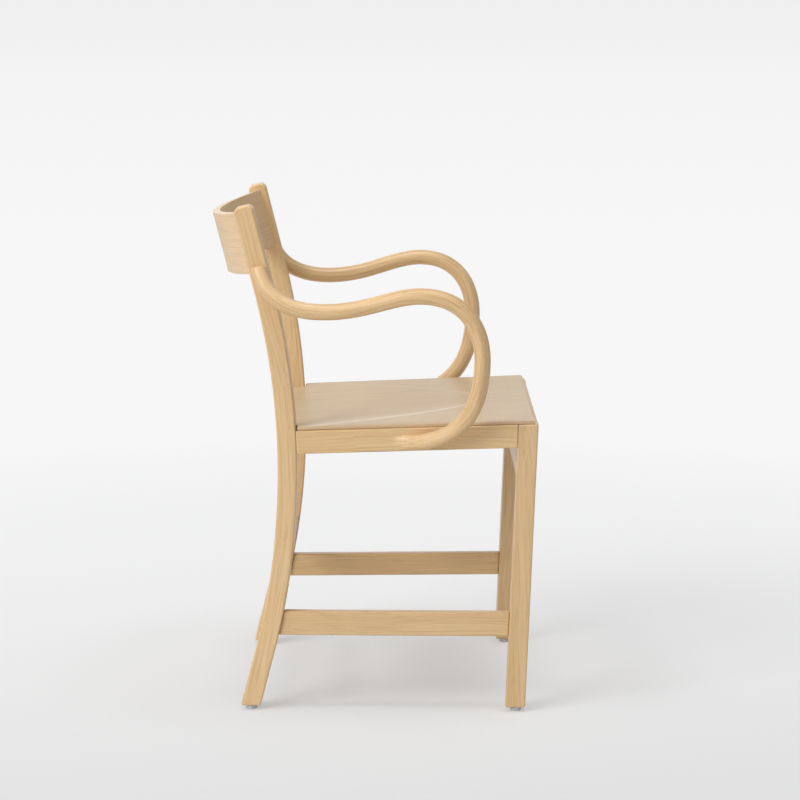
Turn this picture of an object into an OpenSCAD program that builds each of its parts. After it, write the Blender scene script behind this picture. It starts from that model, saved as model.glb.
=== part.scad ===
// Wooden armchair: two bent back posts and two front legs carry a seat frame,
// a dished seat panel, a bent backrest and two bent round armrests.
// Millimetres, +Z up. The sitter looks along -Y and has +X on the left hand.
// The origin is on the floor, under the middle of the chair's outer box.

/* [Overall] */
// Height of the chair, to the top of the back posts
overall_h = 792; // [770:1:820]
// Width over the outer faces of the back posts
rear_w = 438; // [420:1:460]
// Width over the outer faces of the front legs
front_w = 460; // [440:1:490]
// Depth of a side, from the legs' front faces to the middle of the posts
side_d = 387.5; // [370:0.5:410]

/* [Back posts] */
// Side of the square back posts
post_size = 30; // [28:0.5:34]
// Radius of the bend along the middle of a back post
bend_r = 1150; // [1050:10:1300]
// Height at which a back post stands furthest forward
waist_h = 384; // [360:1:410]
// How far the straight upper part of a back post leans back, in degrees
back_lean = 14; // [11:0.1:16]
// How far the straight foot of a back post leans, in degrees
foot_lean = 14.6; // [12:0.1:17]
// Rounding of the post tops
post_round = 9.5; // [4:0.5:12]

/* [Front legs] */
// Side of the square front legs
leg_size = 31; // [28:0.5:34]
// How much further forward a front leg stands at its top than at its foot
leg_rake = 17.5; // [0:0.5:35]

/* [Seat frame] */
// Height of the frame's top edge at the front
front_h = 456.5; // [435:0.5:475]
// Fall of the seat towards the back, in degrees
seat_fall = 1.9; // [0.5:0.1:3]
// Height of the side rails
rail_h = 36; // [34:1:42]
// Thickness of the side rails and the back rail
rail_t = 22; // [20:0.5:24]
// Height of the front rail
front_rail_h = 86; // [60:1:100]
// How far the front rail's face stands behind the legs' faces
front_rail_inset = 1; // [0.5:0.5:4]
// How far the back rail's front face stands in front of the posts' middle
back_rail_lead = 12; // [8:0.5:13]

/* [Stretchers] */
// Thickness of the stretchers
stretcher_t = 18; // [16:0.5:20]
// Height of the side stretchers
side_stretcher_h = 38; // [32:1:44]
// Height of the side stretchers' lower edge above the floor
side_stretcher_z = 119.5; // [90:0.5:130]
// Height of the back stretcher
back_stretcher_h = 36; // [32:1:44]
// Height of the back stretcher's lower edge above the floor
back_stretcher_z = 191; // [185:1:240]
// How far the back stretcher's face stands behind the posts' front faces
back_stretcher_inset = 2; // [1:0.5:6]

/* [Seat panel] */
// Thickness of the panel's lip, which lies on the frame
lip_t = 6.5; // [6:0.5:9]
// Thickness of the panel's body, which drops inside the frame
body_t = 9.5; // [8:0.5:11]
// How far the lip's side edges stand inside the frame's outer faces
lip_side_inset = 3.5; // [2:0.5:6]
// How far the lip's front edge stands behind the frame's front
lip_front_inset = 5; // [4:0.5:12]
// How far the panel runs back past the posts' middle
panel_tail = 10; // [4:0.5:12]
// Clearance between the panel and what it fits between
panel_gap = 0.5; // [0.3:0.1:0.8]
// Radius of the dish across the seat
dish_r = 4400; // [3000:100:6000]
// Fall of the dish towards the back below the panel's top, in degrees
dish_fall = 1.1; // [0.6:0.1:1.1]
// Where the dish starts, behind the frame's front
dish_start = 86; // [80:1:160]

/* [Backrest] */
// Height of the backrest panel
backrest_h = 96.5; // [80:0.5:105]
// Thickness of the backrest panel
backrest_t = 12; // [9:0.5:14]
// Radius of the backrest's hollow side
backrest_r = 343; // [310:1:400]
// How far the post tops rise over the backrest
backrest_drop = 10.5; // [6:0.5:20]
// How far the backrest's hollow side stands in front of the posts' middle
backrest_lead = 5.9; // [3:0.1:8]
// Depth of the mortises that hold the backrest
mortise = 12; // [8:0.5:16]
// Clearance of the backrest in its mortises
mortise_fit = 0.15; // [0.05:0.05:0.3]

/* [Armrests] */
// Diameter of the armrests
arm_d = 25; // [23:0.5:26]
// Height of an armrest's upper end on the back post
arm_end_h = 695; // [680:1:705]
// Height of the low place behind the elbow
arm_dip_h = 632; // [615:1:640]
// How far the low place stands in front of the posts' middle
arm_dip_y = 57; // [50:1:65]
// How far the low place stands out from the side frame
arm_dip_out = 21.3; // [18:0.1:26]
// Height of the high place under the hand
arm_crest_h = 659.5; // [645:0.5:675]
// How far the high place stands in front of the posts' middle
arm_crest_y = 209; // [200:1:220]
// How far the high place stands out from the side frame
arm_crest_out = 44.6; // [40:0.1:50]
// Height of the foremost place of the armrest
arm_nose_h = 561; // [540:0.5:575]
// How far the foremost place stands in front of the posts' middle
arm_nose_y = 300.5; // [290:0.5:310]
// How far the foremost place stands out from the side frame
arm_nose_out = 45.6; // [40:0.1:50]
// How far its middle line starts inside the post's outer face
arm_end_in = 4; // [3:0.5:5]
// How far the armrest runs along the back post before it bends away
arm_end_reach = 64; // [50:1:75]
// How far it runs level before the low place
arm_dip_lead = 19; // [15:1:24]
// How far it runs level after the low place
arm_dip_reach = 66; // [55:1:75]
// How far it runs level before the high place
arm_crest_lead = 46; // [35:1:55]
// How far it runs level after the high place
arm_crest_reach = 62; // [50:1:72]
// How far it runs upright above the foremost place
arm_nose_lead = 54; // [45:1:65]
// How far it runs upright below the foremost place
arm_nose_reach = 146; // [100:1:165]
// How far it runs along the lap before it leaves the side rail
arm_root_lead = 30; // [10:1:55]
// How much it runs outwards as it leaves the back post, as a share of its way
arm_end_splay = 0.45; // [0.3:0.01:0.6]
// How much it runs outwards at the low place, as a share of its way
arm_dip_splay = 0.087; // [0.05:0.001:0.15]
// How much it runs outwards at the high place, as a share of its way
arm_crest_splay = 0.124; // [0.05:0.001:0.15]
// How much it runs outwards as it leaves the side rail, as a share of its way
arm_root_splay = 0.35; // [0:0.01:0.7]
// Where the round part starts in the lap, as a share of the lap's length
arm_root_share = 0.7; // [0.5:0.01:0.9]
// Where the armrest's lower end is cut off, in front of the posts' middle
lap_end = 103; // [80:1:115]
// Length of the flat lap at the armrest's lower end
lap_len = 68; // [55:1:80]
// Depth of the housing in the side rail that holds the lap
lap_depth = 12; // [11:0.5:13]
// How far the lap's face stands proud of the side rail
lap_proud = 1; // [0.5:0.1:2]
// Width of the rail left under the lap
lap_rim = 1; // [0.5:0.5:3]

/* [Dowels and screws] */
// Diameter of the dowels
dowel_d = 8; // [6:0.5:8]
// Length of the dowels in the frame joints
dowel_len = 30; // [26:1:34]
// How far the dowels reach into a post or leg
dowel_bite = 12; // [10:0.5:12]
// Length of the dowels that hold the armrests
arm_dowel_len = 16; // [14:1:16]
// Clearance around dowels and screws
dowel_fit = 0.1; // [0.05:0.05:0.2]
// Length of the corner blocks along each rail
block = 55; // [50:1:65]
// Height of the corner blocks
block_h = 22; // [20:1:24]
// Clearance between the corner blocks and the sides of the legs and posts
block_gap = 0.3; // [0.2:0.1:0.6]
// Diameter of the screws
screw_d = 4.5; // [4:0.5:5]
// Diameter of the screw heads
head_d = 9; // [8:0.5:10]
// Height of the screw heads
head_h = 3; // [2:0.5:4]
// Depth of the sunk holes that hold the screw heads
head_sink = 5; // [4:0.5:7]
// How far the screws reach past the corner blocks
screw_bite = 10; // [8:0.5:11]

/* [Glides] */
// Diameter of the glides
glide_d = 18; // [14:1:24]
// Height of the glides
glide_h = 7; // [5:0.5:9]
// Diameter of the glide nails
nail_d = 2.5; // [2:0.1:3]
// How far the nails reach into a leg
nail_len = 18; // [14:1:25]
// Diameter of the nail heads
nail_head_d = 7; // [5:0.5:9]
// Height of the nail heads
nail_head_h = 1.5; // [1:0.5:2]
// How far the nail heads stand above the floor
nail_sink = 1.5; // [1:0.5:2]

/* [Hidden] */

LEFT = 1;
RIGHT = -1;
FRONT = -1;
BACK = 1;
$fn = 48;
arc_fn = 720;
bend_steps = 32;
round_steps = 12;

// Larger than any piece: the size of shapes that only cut
far = 1000;
// A dowel hole's blind end is deeper than its dowel by this much
dowel_end = 0.5;

oak = [0.80, 0.66, 0.50];
pale_oak = [0.86, 0.73, 0.58];
dowel_wood = [0.72, 0.56, 0.38];
steel = [0.66, 0.67, 0.69];
felt = [0.62, 0.61, 0.60];

// Each side frame is flat and turned outwards towards the front by this angle
taper = asin((front_w - rear_w) / 2 / side_d);

// Places along a side: y is 0 at the middle of the posts and falls to the front
function frame_top(y) = front_h - (side_d + y) * tan(seat_fall);
function leg_front(z) = leg_rake * (front_h - z) / (front_h - glide_h) - side_d;
function leg_back(z) = leg_front(z) + leg_size;
function bend_point(a, off) = [bend_r, waist_h] + (bend_r - off) * [-cos(a), sin(a)];
function post_edge(z, off) =
    let (low = bend_point(-foot_lean, off))
    z < low[1] ? low[0] + (low[1] - z) * tan(foot_lean)
        : bend_r - sqrt(pow(bend_r - off, 2) - pow(z - waist_h, 2));
function post_front(z) = post_edge(z, -post_size / 2);
function post_lean(z) = asin((z - waist_h) / bend_r);

// The straight upper part of a post starts here, as [y, z], and has this length
post_start = bend_point(back_lean, 0);
post_len = (overall_h - post_start[1] - post_size / 2 * sin(back_lean)
    - post_round * (1 - cos(back_lean) - sin(back_lean))) / cos(back_lean);

// Points of a post's outline: off is how far behind its middle line they lie
function bend_points(off, from, to) =
    [for (k = [0 : bend_steps]) bend_point(from + (to - from) * k / bend_steps, off)];
function post_point(off, up) = post_start
    + off * [cos(back_lean), -sin(back_lean)] + up * [sin(back_lean), cos(back_lean)];
function foot_point(off) = [post_edge(glide_h, off), glide_h];

// Backrest arc: its centre lies in front of the posts, its top below theirs
backrest_y = -backrest_lead - sqrt(pow(backrest_r, 2) - pow(rear_w / 2 - post_size, 2));
backrest_crown = backrest_y + backrest_r + backrest_t;
backrest_top = post_len - backrest_drop;

// Foremost and rearmost places, which centre the chair on the origin
front_reach = side_d * cos(taper) + leg_size * sin(taper);
rear_reach = post_start[0] + backrest_top * sin(back_lean) + backrest_crown * cos(back_lean);
middle_y = (rear_reach - front_reach) / 2;

// Places of the dowels in each joint, as shares of a rail's or stretcher's height
rail_rows = [0.22, 0.78];
front_rail_rows = [1 / 6, 1 / 2, 5 / 6];
back_rail_rows = [0.25, 0.75];
stretcher_rows = [0.25, 0.75];
// Place of the dowels across the back rail, as a share of its thickness
back_peg_share = 0.7;
// Where the arm dowels sit: down from the upper end, and along the lap
arm_post_rows = [16, 36];
arm_lap_rows = [16, 44];

// Places of the seat screws, in from the side rail and from the cross rail
seat_screw_in = 0.62 * block;
seat_screw_off = 0.18 * block;

// Armrest centreline in the side frame: [out from the face, y, z], then the
// way it runs there, and how far its curve follows that way before and after
lap_z = arm_d / 2 + lap_rim - rail_h;
function lap_mid(y) = [lap_proud - arm_d / 2, y, frame_top(y) + lap_z];
arm_root = lap_mid(-lap_end - arm_root_share * lap_len);
arm_root_way = [-arm_root_splay, cos(seat_fall), -sin(seat_fall)];
function on_post(z) = post_start[0] + (z - post_start[1]) * tan(back_lean);
arm_keys = [
    [[-arm_end_in, on_post(arm_end_h), arm_end_h],
        [arm_end_splay, -sin(back_lean), -cos(back_lean)], 0, arm_end_reach],
    [[arm_dip_out, -arm_dip_y, arm_dip_h],
        [arm_dip_splay, -1, 0], arm_dip_lead, arm_dip_reach],
    [[arm_crest_out, -arm_crest_y, arm_crest_h],
        [arm_crest_splay, -1, 0], arm_crest_lead, arm_crest_reach],
    [[arm_nose_out, -arm_nose_y, arm_nose_h], [0, 0, -1], arm_nose_lead, arm_nose_reach],
    [arm_root, arm_root_way, arm_root_lead, 0]
];
arm_steps = [12, 12, 14, 18];
arm_sides = 24;

// Point at t of the curve from one key to the next
function curve(a, b, t) =
    let (p = a[0] + a[1] * a[3], q = b[0] - b[1] * b[2], s = 1 - t)
    s * s * s * a[0] + 3 * s * s * t * p + 3 * s * t * t * q + t * t * t * b[0];

arm_path = concat(
    [for (i = [0 : 3], k = [0 : arm_steps[i] - 1])
        curve(arm_keys[i], arm_keys[i + 1], k / arm_steps[i])],
    [arm_root]
);

function unit(v) = v / norm(v);
// One ring of points around a path's point, square to the way it runs
function ring(path, i, r, n) =
    let (
        way = unit(path[min(i + 1, len(path) - 1)] - path[max(i - 1, 0)]),
        across = unit(cross(way, [1, 0, 0])),
        up = cross(across, way)
    )
    [for (k = [0 : n - 1]) path[i] + r * (cos(360 * k / n) * up + sin(360 * k / n) * across)];

// Round rod along a path
module rod(path, d, n) {
    rings = len(path);
    side_faces = [for (i = [0 : rings - 2], k = [0 : n - 1])
        let (a = i * n + k, b = i * n + (k + 1) % n)
        each [[a, a + n, b + n], [a, b + n, b]]];
    ends = [[for (k = [0 : n - 1]) k], [for (k = [n - 1 : -1 : 0]) (rings - 1) * n + k]];
    polyhedron([for (i = [0 : rings - 1]) each ring(path, i, d / 2, n)], concat(side_faces, ends));
}

// Puts the middle of the chair's outer box over the origin
module centred() {
    translate([0, -middle_y, 0]) children();
}

// Moves a shape into a side frame: x is 0 on its outer face and grows outwards
module on_side(side) {
    mirror([side == LEFT ? 0 : 1, 0, 0])
        translate([rear_w / 2, 0, 0]) rotate([0, 0, taper]) children();
}

module both_sides() {
    for (side = [LEFT, RIGHT]) on_side(side) children();
}

// Extrudes an outline drawn in y and z from x0 to x1
module slab(x0, x1) {
    translate([x0, 0, 0]) rotate([90, 0, 90]) linear_extrude(x1 - x0) children();
}

// Keeps what lies between the two side frames, in from their outer faces
module between_sides(depth) {
    difference() {
        children();
        both_sides() translate([-depth, -far, -far]) cube(2 * far);
    }
}

// Turns a shape into the plane of the frame's top: z is 0 on it, y is 0 at the front
module on_frame() {
    translate([0, -side_d, front_h]) rotate([-seat_fall, 0, 0]) children();
}

// Follows the straight upper part of the posts, along its middle
module on_post_top() {
    translate([0, post_start[0], post_start[1]]) rotate([-back_lean, 0, 0]) children();
}

// Outline of a back post in y and z: the foot, the bend, then the straight part
module post_outline() {
    half = post_size / 2;
    polygon(concat(
        [foot_point(-half)], bend_points(-half, -foot_lean, back_lean),
        [for (k = [0 : round_steps]) let (a = 90 * k / round_steps)
            post_point(post_round * (1 - cos(a)) - half, post_len - post_round * (1 - sin(a)))],
        [for (k = [0 : round_steps]) let (a = 90 * k / round_steps)
            post_point(half - post_round * (1 - sin(a)), post_len - post_round * (1 - cos(a)))],
        bend_points(half, back_lean, -foot_lean), [foot_point(half)]
    ));
}

// Outline of a front leg in y and z
module leg_outline() {
    top = -side_d + leg_size;
    polygon([
        [-side_d, front_h], [top, frame_top(top)],
        [leg_back(glide_h), glide_h], [leg_front(glide_h), glide_h]
    ]);
}

// Band that follows the frame's top at a given drop below it
module frame_band(y0, y1, drop, height) {
    polygon([
        [y0, frame_top(y0) - drop], [y1, frame_top(y1) - drop],
        [y1, frame_top(y1) - drop - height], [y0, frame_top(y0) - drop - height]
    ]);
}

// Keeps what of an outline lies between the leg and the post
module leg_to_post() {
    difference() {
        children();
        leg_outline();
        post_outline();
    }
}

module dowel(length, bite, grow) {
    end = grow > 0 ? dowel_end : 0;
    translate([0, 0, bite - length - end])
        cylinder(d = dowel_d + 2 * grow, h = length + 2 * end);
}

// A screw that points up, its head's underside at z = 0; holes let the head in
module screw(length, grow) {
    entry = grow > 0 ? head_sink : 0;
    tip = grow > 0 ? 0 : screw_d;
    translate([0, 0, -head_h - entry])
        cylinder(d = head_d + 2 * grow, h = head_h + entry);
    cylinder(d = screw_d + 2 * grow, h = length - tip + grow);
    if (tip > 0)
        translate([0, 0, length - tip]) cylinder(d1 = screw_d, d2 = screw_d / 5, h = tip);
}

// Joints, drawn in a side frame: the pegs or screws themselves when grow is 0,
// else the holes for them, that much wider all round
module side_rail_pegs(grow) {
    for (row = rail_rows) {
        back_z = frame_top(-post_size / 2) - row * rail_h;
        front_z = frame_top(leg_size - side_d) - row * rail_h;
        translate([-rail_t / 2, post_front(back_z), back_z])
            rotate([-90, 0, 0]) dowel(dowel_len, dowel_bite, grow);
        translate([-rail_t / 2, leg_back(front_z), front_z])
            rotate([90, 0, 0]) dowel(dowel_len, dowel_bite, grow);
    }
}

module front_rail_pegs(grow) {
    for (row = front_rail_rows) {
        z = front_h - row * front_rail_h;
        translate([-leg_size, leg_front(z) + leg_size / 2, z])
            rotate([0, 90, 0]) dowel(dowel_len, dowel_bite, grow);
    }
}

module back_rail_pegs(grow) {
    for (row = back_rail_rows)
        translate([
            -post_size, back_peg_share * rail_t - back_rail_lead,
            frame_top(0) - body_t - row * (rail_h - body_t)
        ]) rotate([0, 90, 0]) dowel(dowel_len, dowel_bite, grow);
}

module stretcher_pegs(grow) {
    for (row = stretcher_rows) {
        z = side_stretcher_z + row * side_stretcher_h;
        translate([-post_size / 2, post_front(z), z])
            rotate([-90, 0, 0]) dowel(dowel_len, dowel_bite, grow);
        translate([-post_size / 2, leg_back(z), z])
            rotate([90, 0, 0]) dowel(dowel_len, dowel_bite, grow);
        on_back_stretcher() translate([-post_size, 0, (row - 0.5) * back_stretcher_h])
            rotate([0, 90, 0]) dowel(dowel_len, dowel_bite, grow);
    }
}

module arm_pegs(grow) {
    for (row = arm_post_rows)
        translate([0, on_post(arm_end_h), arm_end_h]) rotate([-back_lean, 0, 0])
            translate([0, 0, -row]) rotate([0, 90, 0])
                dowel(arm_dowel_len, arm_dowel_len / 2, grow);
    for (row = arm_lap_rows)
        translate([-lap_depth, -lap_end - row, lap_mid(-lap_end - row)[2]])
            rotate([0, 90, 0]) dowel(arm_dowel_len, arm_dowel_len / 2, grow);
}

// Inner corner that a corner block fills, between a side rail and a cross rail
function block_y(end) = end == FRONT ? leg_size - side_d : -back_rail_lead;
function block_top(end) = frame_top(block_y(end)) - body_t;

module block_screw(end, grow) {
    reach = block / sqrt(2) - head_sink;
    translate([-rail_t, block_y(end), block_top(end) - block_h / 2])
        rotate([0, 0, end == FRONT ? -45 : 45]) rotate([0, 90, 0])
            translate([0, 0, -reach]) screw(reach + screw_bite, grow);
}

module seat_screw(end, grow) {
    y = block_y(end) - end * seat_screw_off;
    translate([-rail_t - seat_screw_in, y, frame_top(y) - body_t - block_h + head_sink])
        screw(block_h - head_sink + screw_bite, grow);
}

module nails(grow) {
    for (end = [FRONT, BACK]) on_foot(end) {
        translate([0, 0, nail_sink])
            cylinder(d = nail_head_d + 2 * grow, h = nail_head_h);
        cylinder(d = nail_d + 2 * grow, h = glide_h + nail_len + grow);
    }
}

// Moves a shape under the middle of a front leg or a back post, in a side frame
module on_foot(end) {
    if (end == FRONT)
        translate([-leg_size / 2, leg_front(glide_h) + leg_size / 2, 0]) children();
    else
        translate([-post_size / 2, post_edge(glide_h, 0), 0]) children();
}

// Moves a shape to the middle of the back stretcher's section
module on_back_stretcher() {
    z = back_stretcher_z + back_stretcher_h / 2;
    translate([0, post_edge(z, 0), z]) rotate([-post_lean(z), 0, 0])
        translate([0, back_stretcher_inset + (stretcher_t - post_size) / 2, 0]) children();
}

// Band that the backrest is bent from, with room all round it
module backrest_band(room) {
    on_post_top() translate([0, backrest_y, backrest_top - backrest_h - room]) difference() {
        cylinder(r = backrest_r + backrest_t + room, h = backrest_h + 2 * room, $fn = arc_fn);
        translate([0, 0, -backrest_h])
            cylinder(r = backrest_r - room, h = 3 * backrest_h, $fn = arc_fn);
        translate([-far, backrest_r / 2 - far, -backrest_h]) cube([2 * far, far, 3 * backrest_h]);
    }
}

// The flat end of an armrest, which the side rail is housed for
module lap() {
    start = -lap_end - lap_len;
    intersection() {
        slab(-lap_depth, lap_proud)
            frame_band(start - lap_len, -lap_end, rail_h - lap_rim - arm_d, arm_d);
        linear_extrude(far) polygon([
            [lap_proud, -lap_end], [-lap_depth, -lap_end], [-lap_depth, start],
            [0, start - lap_len / 2], [lap_proud, start]
        ]);
    }
}

// Blank of the front rail: it leans with the legs and lies flush behind them
module front_rail_blank() {
    shift = side_d - front_reach;
    bottom = front_h - front_rail_h;
    face = shift + front_rail_inset;
    between_sides(leg_size) slab(-far / 2, far / 2) polygon([
        [face + leg_front(front_h), frame_top(face + leg_front(front_h))],
        [shift + leg_back(front_h), frame_top(shift + leg_back(front_h))],
        [shift + leg_back(bottom), bottom], [face + leg_front(bottom), bottom]
    ]);
}

module back_rail_blank() {
    between_sides(post_size) slab(-far / 2, far / 2)
        frame_band(-back_rail_lead, rail_t - back_rail_lead, body_t, rail_h - body_t);
}

// Sub-parts
module back_post(side) {
    color(oak) centred() difference() {
        on_side(side) difference() {
            slab(-post_size, 0) post_outline();
            side_rail_pegs(dowel_fit);
            back_rail_pegs(dowel_fit);
            stretcher_pegs(dowel_fit);
            arm_pegs(dowel_fit);
            block_screw(BACK, dowel_fit);
            nails(dowel_fit);
        }
        between_sides(post_size - mortise - mortise_fit) backrest_band(mortise_fit);
    }
}

module front_leg(side) {
    color(oak) centred() on_side(side) difference() {
        slab(-leg_size, 0) leg_outline();
        side_rail_pegs(dowel_fit);
        front_rail_pegs(dowel_fit);
        stretcher_pegs(dowel_fit);
        block_screw(FRONT, dowel_fit);
        nails(dowel_fit);
    }
}

module side_rail(side) {
    color(oak) centred() on_side(side) difference() {
        slab(-rail_t, 0) leg_to_post() frame_band(leg_size / 2 - side_d, 0, 0, rail_h);
        side_rail_pegs(dowel_fit);
        arm_pegs(dowel_fit);
        lap();
    }
}

module front_rail() {
    color(oak) centred() difference() {
        front_rail_blank();
        both_sides() front_rail_pegs(dowel_fit);
    }
}

module back_rail() {
    color(oak) centred() difference() {
        back_rail_blank();
        both_sides() back_rail_pegs(dowel_fit);
    }
}

module side_stretcher(side) {
    middle_z = side_stretcher_z + side_stretcher_h / 2;
    start = leg_back(middle_z) - leg_size / 2;
    color(oak) centred() on_side(side) difference() {
        slab(-(post_size + stretcher_t) / 2, -(post_size - stretcher_t) / 2) leg_to_post()
            translate([start, side_stretcher_z])
                square([post_edge(middle_z, 0) - start, side_stretcher_h]);
        stretcher_pegs(dowel_fit);
    }
}

module back_stretcher() {
    color(oak) centred() difference() {
        between_sides(post_size) on_back_stretcher()
            cube([far, stretcher_t, back_stretcher_h], center = true);
        both_sides() stretcher_pegs(dowel_fit);
    }
}

module seat_panel() {
    run = side_d + panel_tail;
    body_start = leg_size + 2 * panel_gap;
    color(pale_oak) centred() difference() {
        union() {
            difference() {
                on_frame() translate([-far / 2, lip_front_inset, 0])
                    cube([far, run - lip_front_inset, lip_t]);
                both_sides() translate([-lip_side_inset, -far, 0]) cube(2 * far);
            }
            difference() {
                on_frame() translate([-far / 2, body_start, -body_t])
                    cube([far, run - body_start, body_t]);
                both_sides() translate([-rail_t - panel_gap, -far, 0]) cube(2 * far);
            }
        }
        both_sides() {
            translate([-post_size - panel_gap, -post_size / 2 - panel_gap, 0]) cube(far);
            for (end = [FRONT, BACK]) seat_screw(end, dowel_fit);
        }
        on_frame() translate([0, dish_start, lip_t]) rotate([-dish_fall, 0, 0])
            translate([0, -dish_start / 2, dish_r]) rotate([-90, 0, 0])
                cylinder(r = dish_r, h = far, $fn = arc_fn);
    }
}

module backrest_panel() {
    color(pale_oak) centred() between_sides(post_size - mortise) backrest_band(0);
}

module armrest(side) {
    color(oak) centred() on_side(side) difference() {
        union() {
            intersection() {
                rod(arm_path, arm_d, arm_sides);
                translate([0, -far, 0]) cube([far, 2 * far, far]);
            }
            lap();
        }
        arm_pegs(dowel_fit);
    }
}

module corner_block(side, end) {
    color(pale_oak) centred() difference() {
        on_side(side) difference() {
            intersection() {
                translate([-rail_t, block_y(end), 0]) linear_extrude(far) polygon([
                    [0, end * leg_size / 4], [-block, end * leg_size / 4], [-block, 0], [0, -end * block]
                ]);
                slab(-far / 2, 0) frame_band(-side_d, 0, body_t, block_h);
            }
            slab(-leg_size - block_gap, 0) leg_outline();
            slab(-post_size - block_gap, 0) post_outline();
            block_screw(end, dowel_fit);
            seat_screw(end, dowel_fit);
        }
        if (end == FRONT) front_rail_blank();
        else back_rail_blank();
    }
}

module glide(side, end) {
    color(felt) centred() on_side(side) difference() {
        on_foot(end) cylinder(d = glide_d, h = glide_h);
        on_foot(end) translate([0, 0, -far]) cylinder(d = nail_head_d + 1, h = far + nail_sink);
        nails(dowel_fit);
    }
}

module glide_nails() {
    color(steel) centred() both_sides() nails(0);
}

module side_rail_dowels() {
    color(dowel_wood) centred() both_sides() side_rail_pegs(0);
}

module front_rail_dowels() {
    color(dowel_wood) centred() both_sides() front_rail_pegs(0);
}

module back_rail_dowels() {
    color(dowel_wood) centred() both_sides() back_rail_pegs(0);
}

module stretcher_dowels() {
    color(dowel_wood) centred() both_sides() stretcher_pegs(0);
}

module arm_dowels() {
    color(dowel_wood) centred() both_sides() arm_pegs(0);
}

module block_screws() {
    color(steel) centred() both_sides() for (end = [FRONT, BACK]) block_screw(end, 0);
}

module seat_screws() {
    color(steel) centred() both_sides() for (end = [FRONT, BACK]) seat_screw(end, 0);
}

back_post(LEFT);  // back_post_left
back_post(RIGHT);  // back_post_right
front_leg(LEFT);  // front_leg_left
front_leg(RIGHT);  // front_leg_right
side_rail(LEFT);  // side_rail_left
side_rail(RIGHT);  // side_rail_right
front_rail();
back_rail();
side_stretcher(LEFT);  // side_stretcher_left
side_stretcher(RIGHT);  // side_stretcher_right
back_stretcher();
seat_panel();
backrest_panel();
armrest(LEFT);  // armrest_left
armrest(RIGHT);  // armrest_right
corner_block(LEFT, FRONT);  // corner_block_front_left
corner_block(RIGHT, FRONT);  // corner_block_front_right
corner_block(LEFT, BACK);  // corner_block_back_left
corner_block(RIGHT, BACK);  // corner_block_back_right
glide(LEFT, FRONT);  // glide_front_left
glide(RIGHT, FRONT);  // glide_front_right
glide(LEFT, BACK);  // glide_back_left
glide(RIGHT, BACK);  // glide_back_right
glide_nails();
side_rail_dowels();
front_rail_dowels();
back_rail_dowels();
stretcher_dowels();
arm_dowels();
block_screws();
seat_screws();
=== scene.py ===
import math

import bpy
from mathutils import Matrix, Vector


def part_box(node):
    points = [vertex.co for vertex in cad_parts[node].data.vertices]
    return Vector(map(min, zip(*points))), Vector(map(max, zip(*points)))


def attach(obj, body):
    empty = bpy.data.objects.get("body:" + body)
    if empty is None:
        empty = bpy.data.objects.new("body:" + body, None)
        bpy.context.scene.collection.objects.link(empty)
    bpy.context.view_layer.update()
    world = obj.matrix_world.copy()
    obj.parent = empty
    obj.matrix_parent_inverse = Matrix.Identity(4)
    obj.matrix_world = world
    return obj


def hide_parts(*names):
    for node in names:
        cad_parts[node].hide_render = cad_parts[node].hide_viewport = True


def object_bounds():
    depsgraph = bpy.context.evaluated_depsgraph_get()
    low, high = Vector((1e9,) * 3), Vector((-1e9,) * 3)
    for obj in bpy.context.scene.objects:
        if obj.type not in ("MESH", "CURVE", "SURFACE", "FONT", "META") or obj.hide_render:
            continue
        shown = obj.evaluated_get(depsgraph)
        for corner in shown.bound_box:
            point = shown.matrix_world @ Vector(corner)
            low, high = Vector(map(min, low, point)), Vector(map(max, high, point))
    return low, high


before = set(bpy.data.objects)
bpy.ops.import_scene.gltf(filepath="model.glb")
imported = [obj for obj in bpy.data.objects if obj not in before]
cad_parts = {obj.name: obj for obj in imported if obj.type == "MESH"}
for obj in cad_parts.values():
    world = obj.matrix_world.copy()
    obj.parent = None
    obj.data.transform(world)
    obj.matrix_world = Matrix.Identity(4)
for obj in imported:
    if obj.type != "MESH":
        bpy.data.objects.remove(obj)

CAD_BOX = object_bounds()
LEFT, RIGHT = 1, -1
SIDES = ((LEFT, "left"), (RIGHT, "right"))

# The chair's own measures, in metres, as its source has them
POST = 0.030
POST_BEND = 1.150
POST_WAIST = 0.384
POST_LEAN = math.radians(14)
FOOT_LEAN = math.radians(14.6)
POST_ROUND = 0.0095
LEG = 0.031
LEG_RAKE = 0.0175
SEAT_FALL = math.radians(1.9)
SIDE_DEPTH = 0.3875
RAIL_H, RAIL_T = 0.036, 0.022
BACK_RAIL_LEAD = 0.012
STRETCHER_T, BACK_STRETCHER_H = 0.018, 0.036
SEAT_LIP, SEAT_BODY, SEAT_TAIL = 0.0065, 0.0095, 0.005
SEAT_FRONT_IN, SEAT_SIDE_IN, SEAT_BACK_OUT, SEAT_GAP = 0.005, 0.0035, 0.010, 0.0005
LIP_ROUND, UNDER_ROUND = 0.0022, 0.0018
DISH_R, DISH_FALL, DISH_START = 4.4, math.radians(1.1), 0.086
BACK_R, BACK_T, BACK_H = 0.343, 0.012, 0.0965
BACK_LEAD, BACK_DROP, MORTISE = 0.0059, 0.0105, 0.012
ARM_D, ARM_TOP = 0.025, 0.695
LAP_END, LAP_LEN, LAP_DEPTH, LAP_PROUD = 0.103, 0.068, 0.012, 0.001
ARM_ROOT, ARM_SWELL, ARM_SUNK = 0.7, 0.060, 0.0004
GLIDE_RIM, GLIDE_HOLLOW = 0.005, 0.0015
WELD, FLAT = 0.00001, 0.01

# How far the arrises of each piece are taken off
ARRIS = {"post": 0.0032, "leg": 0.0026, "side_rail": 0.002, "front_rail": 0.0022, "back_rail": 0.0015,
         "stretcher": 0.0024, "backrest": 0.0028, "lap": 0.0004, "glide": 0.0009, "block": 0.0008}

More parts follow.
